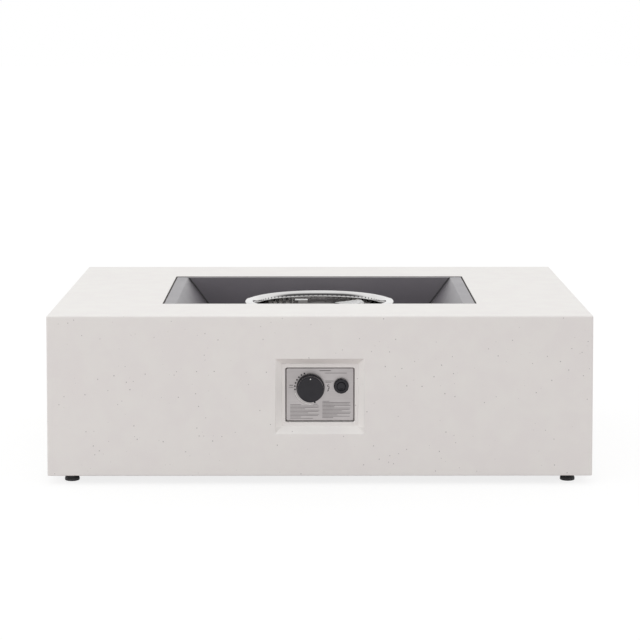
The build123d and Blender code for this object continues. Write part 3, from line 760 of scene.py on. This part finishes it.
@dataclass
class Burner:
    """The burner bowl with its vents, and the small parts in and under it. Sizes in millimetres."""

    floor: float = 250.0
    height: float = 71.0
    rim: float = 164.0
    lip: float = 7.0
    rim_round: float = 5.0
    mouth: float = 137.0
    base: float = 135.5
    corner: float = 11.0
    roll: float = 12.0
    roll_steps: int = 9
    guard: float = 1.5
    sheet: float = 1.0
    vents: int = 80
    vent_drop: float = 8.4
    vent_band: float = 4.4
    vent_radius: float = 1.8
    vent_slack: float = 0.1
    sharp: float = 60.0

    def bowl_mesh(self) -> Mesh:
        """The spun bowl, with a band of faces on its roll for the vents.

        Returns:
            The sheet at its full thickness, measured at its inner and upper face.
        """
        top = self.height
        low = self.vent_drop + self.vent_band / 2
        high = self.vent_drop - self.vent_band / 2
        steep = math.asin(1 - low / self.roll)
        slack = math.asin(1 - high / self.roll)
        step = (math.pi / 2 - slack) / self.roll_steps
        tilts = [0.0, steep] + [slack + step * count for count in range(self.roll_steps + 1)]
        foot = self.sheet + self.corner + self.guard
        neck = top - self.roll - self.guard
        profile = [
            Turn(0, self.sheet),
            Turn(self.base - self.corner - self.guard, self.sheet),
            Turn(self.base, self.sheet, self.corner),
            Turn(self.on_wall(foot), foot),
            Turn(self.on_wall(neck), neck),
            *[self.on_roll(tilt) for tilt in tilts],
            Turn(self.rim, top, self.rim_round),
            Turn(self.rim, top - self.lip),
        ]
        mesh = Shop.lathe(profile, self.vents * 2, closed=False)
        self.pierce(mesh, (top - self.vent_drop) / MM)
        bmesh.ops.solidify(mesh, geom=mesh.faces[:], thickness=self.sheet / MM)
        return mesh

    def on_wall(self, height: float) -> float:
        """The wall's radius at a height."""
        share = (height - self.sheet) / (self.height - self.roll - self.sheet)
        return self.base + (self.mouth - self.base) * share

    def on_roll(self, tilt: float) -> Turn:
        """The point on the rim's inner roll where the sheet faces up by a tilt in radians."""
        radius = self.mouth + self.roll * (1 - math.cos(tilt))
        return Turn(radius, self.height - self.roll * (1 - math.sin(tilt)))

    def pierce(self, mesh: Mesh, height: float) -> None:
        """Opens a round vent in every second face of the band on the roll.

        Args:
            mesh: The bowl's sheet.
            height: Height of the vents in metres.
        """
        step = math.tau / (self.vents * 2)
        reach = (self.mouth + self.roll / 2) / MM
        radius = self.vent_radius / MM
        chosen = []
        for face in mesh.faces:
            centre = face.calc_center_median()
            turn = math.floor(math.atan2(centre.y, centre.x) / step)
            level = abs(centre.z - height) < self.vent_slack / MM
            if level and math.hypot(*centre.xy) < reach and turn % 2 == 0:
                chosen.append(face)
        bmesh.ops.inset_individual(mesh, faces=chosen, thickness=radius / 2)
        edges = list({edge for face in chosen for edge in face.edges})
        bmesh.ops.bisect_edges(mesh, edges=edges, cuts=2)
        for face in chosen:
            centre = face.calc_center_median()
            for vert in face.verts:
                vert.co = centre + (vert.co - centre).normalized() * radius
        log.info("opened %d vents", len(chosen))
        bmesh.ops.delete(mesh, geom=chosen, context="FACES")

    def build(self) -> None:
        """Builds the bowl in place of its CAD node."""
        bowl = Shop.piece(
            "burner_bowl_spun",
            self.bowl_mesh(),
            "table",
            Finishes.spun,
            "polished_steel",
            Matrix.Translation((0, 0, self.floor / MM)),
            self.sharp,
        )
        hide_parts("burner_bowl")

    def dress(self) -> None:
        """Dresses the bowl's node and the small parts."""
        dress(Finishes.burner, "burner_ring", "thermocouple")
        dress(Finishes.hood, "pilot_hood")
        dress(Finishes.target, "spark_target")
        dress(Finishes.ceramic, "electrode_insulator")
        dress(Finishes.zinc, "electrode_rod", "small_screws", "bowl_bolts", "bowl_nuts", "hub_nut")
        dress(Finishes.zinc, "air_mixer")
        dress(Finishes.spun, "burner_bowl")


@dataclass
class GasTrain:
    """Valve, pipe, jet and leads inside the table."""

    def dress(self) -> None:
        """Dresses the hidden parts."""
        dress(Finishes.alloy, "gas_valve")
        dress(Finishes.brass, "gas_injector", "injector_elbow", "pipe_nuts", "magnet_unit", "inlet_fitting")
        dress(Finishes.brass, "thermocouple_nut", "valve_plunger")
        dress(Finishes.pipe, "gas_pipe")
        dress(Finishes.copper, "thermocouple_lead")
        dress(Finishes.sleeve, "ignition_lead")
        dress(Finishes.zinc, "valve_screws", "valve_stem", "panel_screws", "battery_contact")
        dress(Finishes.wrap, "battery")
        dress(Finishes.plastic, "igniter_body", "igniter_nut")


@dataclass(frozen=True)
class Knob:
    """The control knob. Sizes in millimetres, heights in front of the panel."""

    gap: float = 5.5
    depth: float = 20.0
    face: float = 26.0
    dish: float = 0.25
    dish_edge: Span = (3.2, 2.6)
    draft: float = 0.6
    barrel_end: float = 6.5
    skirt: float = 28.5
    skirt_height: float = 3.0
    wall: float = 3.5
    web: float = 6.0
    hub: float = 8.0
    hub_gap: float = 0.8
    bore: float = 4.1
    steps: int = 96

    def mesh(self) -> Mesh:
        """The bevelled skirt, plain barrel and hollow back.

        Returns:
            The knob about Z.
        """
        back = self.gap
        front = self.gap + self.depth
        inner = self.face - self.wall
        profile = [
            Turn(0, front - self.dish),
            Turn(self.face - self.dish_edge[0], front - self.dish, 0.4),
            Turn(self.face - self.dish_edge[1], front, 0.3),
            Turn(self.face, front, 1.4),
            Turn(self.face + self.draft, back + self.barrel_end, 0.8),
            Turn(self.skirt, back + self.skirt_height, 0.9),
            Turn(self.skirt, back, 0.4),
            Turn(inner, back, 0.4),
            Turn(inner, front - self.web, 1.5),
            Turn(self.hub, front - self.web),
            Turn(self.hub, back + self.hub_gap, 0.4),
            Turn(self.bore, back + self.hub_gap),
        ]
        return Shop.lathe(profile, self.steps, closed=False)


@dataclass(frozen=True)
class Igniter:
    """The igniter's cap and button. Sizes in millimetres, heights in front of the panel."""

    cap: float = 15.0
    height: float = 10.5
    back: float = 2.3
    bore: float = 12.3
    ledge: float = 7.6
    play: float = 0.08
    cap_steps: int = 72
    groove_turn: float = 30.0
    groove_half: float = 4.0
    groove_depth: float = 0.5
    groove_reach: float = 0.4
    groove_end: float = 1.5
    button: float = 8.0
    flange: float = 9.8
    flange_z: Span = (5.4, 7.4)
    pin: float = 3.0
    pin_end: float = 1.0
    button_steps: int = 64

    def cap_mesh(self) -> Mesh:
        """The cap with its finger grooves.

        Returns:
            The cap about Z.
        """
        top = self.height
        hole = self.button + self.play
        profile = [
            Turn(self.cap, self.back, 0.3),
            Turn(self.cap + 0.3, top - 2.5, 1.2),
            Turn(self.cap - 1.5, top, 0.6),
            Turn(self.button + 1.4, top - 0.7, 0.3),
            Turn(hole, top - 1.6),
            Turn(hole, self.ledge),
            Turn(self.bore, self.ledge),
            Turn(self.bore, self.back),
        ]
        mesh = Shop.lathe(profile, self.cap_steps)
        for vert in mesh.verts:
            turn = math.degrees(math.atan2(vert.co.y, vert.co.x)) % self.groove_turn
            in_groove = abs(turn - self.groove_turn / 2) < self.groove_half
            outside = math.hypot(vert.co.x, vert.co.y) > (self.cap - self.groove_reach) / MM
            if in_groove and outside and vert.co.z < (top - self.groove_end) / MM:
                vert.co.xy *= 1 - self.groove_depth / self.cap
        return mesh

    def button_mesh(self) -> Mesh:
        """The dished push button.

        Returns:
            The button about Z.
        """
        top = self.height
        low, high = self.flange_z
        profile = [
            Turn(0, top - 1.0),
            Turn(self.button - 4.2, top - 0.9, 0.6),
            Turn(self.button - 2.2, top - 0.3, 0.5),
            Turn(self.button, top + 0.3, 0.7),
            Turn(self.button, high),
            Turn(self.flange, high),
            Turn(self.flange, low),
            Turn(self.pin, low),
            Turn(self.pin, self.pin_end),
            Turn(0, self.pin_end),
        ]
        return Shop.lathe(profile, self.button_steps, closed=False)


@dataclass(frozen=True)
class Arc:
    """A printed line round a point, in millimetres and in degrees anticlockwise from three o'clock."""

    radius: float
    width: float
    start: float
    sweep: float
    step: float = 4.0

    def mesh(self) -> Mesh:
        """The flat line.

        Returns:
            The line about Z.
        """
        mesh = bmesh.new()
        ends = [mesh.verts.new(((self.radius + side * self.width / 2) / MM, 0, 0)) for side in (-1, 1)]
        edge = mesh.edges.new(ends)
        turned = Matrix.Rotation(math.radians(self.start), 4, "Z")
        bmesh.ops.transform(mesh, matrix=turned, verts=mesh.verts)
        around = {"cent": (0, 0, 0), "axis": (0, 0, 1), "angle": math.radians(self.sweep)}
        bmesh.ops.spin(mesh, geom=ends + [edge], steps=int(self.sweep / self.step), **around)
        Shop.face_out(mesh)
        return mesh


@dataclass(frozen=True)
class Rules:
    """Plain ruled lines under each other, the first at the top, in millimetres from the panel's centre."""

    name: str
    left: float
    top: float
    lengths: tuple[float, ...]
    thick: float = 0.8
    pitch: float = 2.8

    def mesh(self) -> Mesh:
        """The flat lines.

        Returns:
            The lines in the panel's frame.
        """
        mesh = bmesh.new()
        for row, length in enumerate(self.lengths):
            height = self.top - row * self.pitch
            move = Matrix.Translation(((self.left + length / 2) / MM, height / MM, 0))
            size = Matrix.Diagonal((length / MM, self.thick / MM, 1, 1))
            bmesh.ops.create_grid(mesh, x_segments=1, y_segments=1, size=0.5, matrix=move @ size)
        Shop.face_out(mesh)
        return mesh


@dataclass
class ControlPanel:
    """The panel with its print, the knob and the igniter. Sizes in millimetres from the panel's centre."""

    centre_z: float = 181.0
    face_y: float = -378.85
    knob: Knob = Knob()
    knob_at: Span = (-19.0, 14.0)
    igniter: Igniter = Igniter()
    igniter_at: Span = (43.0, 18.0)
    ink_lift: float = 0.06
    dial: float = 31.6
    dial_dots: int = 7
    dial_start: float = 113.0
    dial_step: float = 12.3
    low_mark: float = -74.0
    dot: float = 1.7
    dot_steps: int = 12
    dial_arc: Arc = Arc(31.6, 1.5, 196.0, 78.0)
    dial_arc_at: Span = (-19.5, 11.6)
    small_print: tuple[Rules, ...] = (
        Rules("rules_left", -60, -21, (22, 58, 57, 30, 59, 57, 36, 58, 56, 22, 46)),
        Rules("rules_right", 5, -14, (14, 56, 54, 57, 24, 56, 55, 40, 57, 56, 30, 55, 22)),
        Rules("rule_head", -1, 48.7, (23,), 1.2),
        Rules("rule_sub", 10, 43.7, (44,), 0.9),
        Rules("rules_igniter", 11, 27.5, (17, 12), 0.9, 2.6),
    )
    spark_at: Span = (17.2, 10.5)
    spark_shift: Span = (0.8, 2.1)
    spark_size: Span = (3.4, 1.5)
    spark_lean: float = 72.0
    spark_ring: Arc = Arc(1.9, 1.1, 50.0, 280.0)
    spark_ring_at: Span = (17.2, 17.8)
    high_rule: Rules = Rules("rule_high", -61.5, 19.0, (7.5,), 1.3)
    words: tuple[tuple[str, float, float], ...] = (("HIGH", -58.0, 14.4), ("LOW", -9.0, -20.6))
    letter_height: float = 2.6
    letter_share: float = 0.7
    letter_steps: int = 3

    def spot(self, x: float, z: float, out: float = 0.0) -> Matrix:
        """The frame of a point on the panel, with X to the right, Y up and Z towards the viewer."""
        move = Matrix.Translation((x / MM, (self.face_y - out) / MM, (self.centre_z + z) / MM))
        return move @ Matrix.Rotation(math.pi / 2, 4, "X")

    def dots_mesh(self) -> Mesh:
        """The row of dots from off to high, and the one for low.

        Returns:
            The flat dots about the knob's axis.
        """
        mesh = bmesh.new()
        turns = [self.dial_start + self.dial_step * count for count in range(self.dial_dots)]
        for turn in [*turns, self.low_mark]:
            aim = Matrix.Rotation(math.radians(turn), 4, "Z")
            place = aim @ Matrix.Translation((self.dial / MM, 0, 0))
            bmesh.ops.create_circle(
                mesh, cap_ends=True, segments=self.dot_steps, radius=self.dot / MM, matrix=place
            )
        Shop.face_out(mesh)
        return mesh

    def spark_mesh(self) -> Mesh:
        """A plain spark sign of two slim triangles, point to point.

        Returns:
            The flat sign about its middle.
        """
        mesh = bmesh.new()
        lean = Matrix.Rotation(math.radians(self.spark_lean), 4, "Z")
        for side in (-1, 1):
            right, up = (side * shift / MM for shift in self.spark_shift)
            long, slim = (side * size / MM for size in self.spark_size)
            place = Matrix.Translation((right, up, 0)) @ lean @ Matrix.Diagonal((long, slim, 1, 1))
            bmesh.ops.create_circle(mesh, cap_ends=True, segments=3, radius=1.0, matrix=place)
        Shop.face_out(mesh)
        return mesh

    def word_mesh(self, text: str) -> Mesh:
        """A plain dial word.

        Args:
            text: The word.

        Returns:
            The flat word about its middle.
        """
        curve = bpy.data.curves.new("word_" + text, "FONT")
        curve.body = text
        curve.size = self.letter_height / (MM * self.letter_share)
        curve.align_x = "CENTER"
        curve.align_y = "CENTER"
        curve.resolution_u = self.letter_steps
        holder = bpy.data.objects.new("word_holder", curve)
        flat = bpy.data.meshes.new_from_object(holder)
        mesh = bmesh.new()
        mesh.from_mesh(flat)
        bpy.data.objects.remove(holder)
        bpy.data.meshes.remove(flat)
        bpy.data.curves.remove(curve)
        Shop.face_out(mesh)
        return mesh

    def print_on(self, mesh: Mesh, name: str, finish: Finish, at: Span = (0.0, 0.0)) -> None:
        """Lays a flat print on the panel."""
        Shop.piece(name, mesh, "table", finish, "black_plastic", self.spot(*at, self.ink_lift))

    def build(self) -> None:
        """Builds the knob, cap and button in place of their nodes, and the print."""
        look = (Finishes.plastic, "black_plastic")
        at_igniter = self.spot(*self.igniter_at)
        knob = Shop.piece("control_knob_moulded", self.knob.mesh(), "knob", *look, self.spot(*self.knob_at))
        Shop.even_out(knob)
        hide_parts("control_knob")
        cap = Shop.piece("igniter_cap_moulded", self.igniter.cap_mesh(), "igniter_cap", *look, at_igniter)
        Shop.even_out(cap)
        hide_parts("igniter_cap")
        pressed = self.igniter.button_mesh()
        button = Shop.piece("igniter_button_moulded", pressed, "igniter_button", *look, at_igniter)
        Shop.even_out(button)
        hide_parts("igniter_button")
        self.print_on(self.dots_mesh(), "dial_dots", Finishes.ink, self.knob_at)
        self.print_on(self.dial_arc.mesh(), "dial_arc", Finishes.white_ink, self.dial_arc_at)
        for rules in self.small_print:
            self.print_on(rules.mesh(), rules.name, Finishes.faint_ink)
        self.print_on(self.spark_mesh(), "spark_sign", Finishes.ink, self.spark_at)
        self.print_on(self.spark_ring.mesh(), "spark_ring", Finishes.ink, self.spark_ring_at)
        self.print_on(self.high_rule.mesh(), self.high_rule.name, Finishes.ink)
        for text, x, z in self.words:
            self.print_on(self.word_mesh(text), "dial_word_" + text.lower(), Finishes.ink, (x, z))

    def dress(self) -> None:
        """Dresses the panel, the knob's dot, and the nodes of knob and igniter."""
        dress(Finishes.brushed, "control_panel")
        dress(Finishes.white_ink, "knob_dot")
        dress(Finishes.plastic, "control_knob", "igniter_cap", "igniter_button")


@dataclass
class Feet:
    """The four levelling feet. Sizes in millimetres."""

    across: float = 505.0
    deep: float = 355.0
    radius: float = 15.0
    height: float = 18.0
    edge: float = 1.0
    shoulder: float = 13.0
    taper: float = 2.5
    crown: float = 9.0
    stud: float = 4.06
    head: float = 6.8
    head_z: Span = (5.5, 8.5)
    steps: int = 64
    places: tuple[tuple[str, int, int], ...] = (
        ("front_left", -1, -1),
        ("front_right", 1, -1),
        ("back_left", -1, 1),
        ("back_right", 1, 1),
    )

    def puck(self) -> Mesh:
        """One rounded foot, hollow for its stud.

        Returns:
            The foot about Z, standing on nought.
        """
        size = self.radius
        low, high = self.head_z
        profile = [
            Turn(0, 0),
            Turn(size - self.edge, 0, 0.3),
            Turn(size, self.edge, 0.3),
            Turn(size, self.height - self.shoulder, 1.0),
            Turn(size - self.taper, self.height - self.shoulder / 2, 1.0),
            Turn(self.crown, self.height, 0.4),
            Turn(self.stud, self.height),
            Turn(self.stud, high),
            Turn(self.head, high),
            Turn(self.head, low),
            Turn(0, low),
        ]
        return Shop.lathe(profile, self.steps, closed=False)

    def build(self) -> None:
        """Builds the four feet in place of their nodes."""
        for name, side, way in self.places:
            place = Matrix.Translation((side * self.across / MM, way * self.deep / MM, 0))
            puck = self.puck()
            foot = Shop.piece("puck_" + name, puck, "foot_" + name, Finishes.rubber, "foot_rubber", place)
            Shop.even_out(foot)
            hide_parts("foot_" + name)

    def dress(self) -> None:
        """Dresses the studs and the nodes of the feet."""
        for name, _, _ in self.places:
            dress(Finishes.zinc, "stud_" + name)
            dress(Finishes.rubber, "foot_" + name)


@dataclass
class Studio:
    """Floor, light and camera. Places in metres, the lamp's power in watts, the camera's turns in degrees.

    The gloom is a dark belt in reflections: it sets in and fades out by the Y and Z of the direction.
    """

    dome: float = 0.95
    dome_tone: Colour = (1.0, 1.0, 0.99, 1.0)
    backdrop: Colour = (1.0, 1.0, 1.0, 1.0)
    gloom: Colour = (0.1, 0.1, 0.1, 1.0)
    gloom_front: Span = (-0.4, 0.4)
    gloom_from: Span = (0.15, 0.42)
    gloom_to: Span = (0.7, 1.05)
    floor_half: float = 30.0
    floor_cells: int = 4
    floor_tone: Colour = (0.54, 0.495, 0.49, 1.0)
    shadow_tone: Colour = (0.2, 0.2, 0.2, 1.0)
    floor_glow: float = 0.82
    key_at: Triple = (-3.2, -2.6, 2.2)
    key_aim: Triple = (0.0, 0.0, 0.3)
    key_size: float = 2.4
    key_power: float = 14.0
    camera_at: Triple = (-0.012, -4.481, 0.951)
    camera_down: float = 8.57
    camera_turn: float = -0.17
    focal_px: float = 2068.0
    photo_px: float = 640.0
    sensor: float = 36.0
    far: float = 200.0

    def light_world(self) -> None:
        """A plain white dome, also where it is seen, with a dark belt in reflections above the front."""
        world = bpy.data.worlds.new("studio")
        world.use_nodes = True
        bpy.context.scene.world = world
        graph = Graph(world.node_tree)
        lit = graph.wire("Background", {0: self.dome_tone, 1: self.dome})
        bright = graph.wire("Background", {0: self.backdrop})
        dim = graph.wire("Background", {0: self.gloom})
        _, back, up = graph.axes()
        belt = up.ramp(*self.gloom_from) * (1.0 - up.ramp(*self.gloom_to))
        shade = (0.0 - back).ramp(*self.gloom_front) * belt
        seen = graph.wire("MixShader", {0: shade, 1: bright, 2: dim})
        both = graph.wire("MixShader", {0: graph.seen_directly(), 1: lit, 2: seen})
        graph.node("OutputWorld", {0: both})

    def lay_floor(self) -> None:
        """A pale floor that the camera and the metal see as white outside the shadow."""
        mesh = bmesh.new()
        cells = self.floor_cells
        bmesh.ops.create_grid(mesh, x_segments=cells, y_segments=cells, size=self.floor_half)
        data = bpy.data.meshes.new("studio_floor")
        mesh.to_mesh(data)
        mesh.free()
        graph = Paint("studio_floor")
        plain = graph.wire("BsdfDiffuse", {0: self.floor_tone})
        shaded = graph.wire("BsdfDiffuse", {0: self.shadow_tone})
        glow = graph.wire("Emission", {1: self.floor_glow})
        bright = graph.wire("AddShader", {0: shaded, 1: glow})
        both = graph.wire("MixShader", {0: graph.seen_directly(), 1: plain, 2: bright})
        data.materials.append(graph.finish(both))
        floor = bpy.data.objects.new("studio_floor", data)
        bpy.context.scene.collection.objects.link(floor)

    def hang_lamp(self) -> None:
        """Hangs the one soft lamp, which neither the camera nor the metal sees."""
        data = bpy.data.lights.new("key", "AREA")
        data.shape = "SQUARE"
        data.size = self.key_size
        data.energy = self.key_power
        lamp = bpy.data.objects.new("key", data)
        lamp.location = self.key_at
        aim = Vector(self.key_aim) - Vector(self.key_at)
        lamp.rotation_euler = aim.to_track_quat("-Z", "Y").to_euler()
        lamp.visible_camera = False
        lamp.visible_glossy = False
        bpy.context.scene.collection.objects.link(lamp)

    def set_camera(self) -> None:
        """The camera that the photograph was fitted with."""
        data = bpy.data.cameras.new("photo_view")
        data.sensor_width = self.sensor
        data.sensor_fit = "HORIZONTAL"
        data.lens = self.focal_px / self.photo_px * self.sensor
        data.clip_end = self.far
        camera = bpy.data.objects.new("photo_view", data)
        camera.location = self.camera_at
        camera.rotation_euler = (math.radians(90 - self.camera_down), 0.0, math.radians(self.camera_turn))
        bpy.context.scene.collection.objects.link(camera)
        bpy.context.scene.camera = camera

    def build(self) -> None:
        """Sets up the whole studio."""
        bpy.context.scene.view_settings.view_transform = "Standard"
        self.light_world()
        self.lay_floor()
        self.hang_lamp()
        self.set_camera()


def main() -> None:
    """Builds and dresses the fire pit, piece by piece."""
    logging.basicConfig(level=logging.INFO, format="%(name)s: %(message)s")
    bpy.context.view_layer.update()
    CastTable().dress()
    FireTray().dress()
    burner = Burner()
    burner.build()
    burner.dress()
    GasTrain().dress()
    panel = ControlPanel()
    panel.build()
    panel.dress()
    feet = Feet()
    feet.build()
    feet.dress()
    Studio().build()


if __name__ == "__main__":
    main()
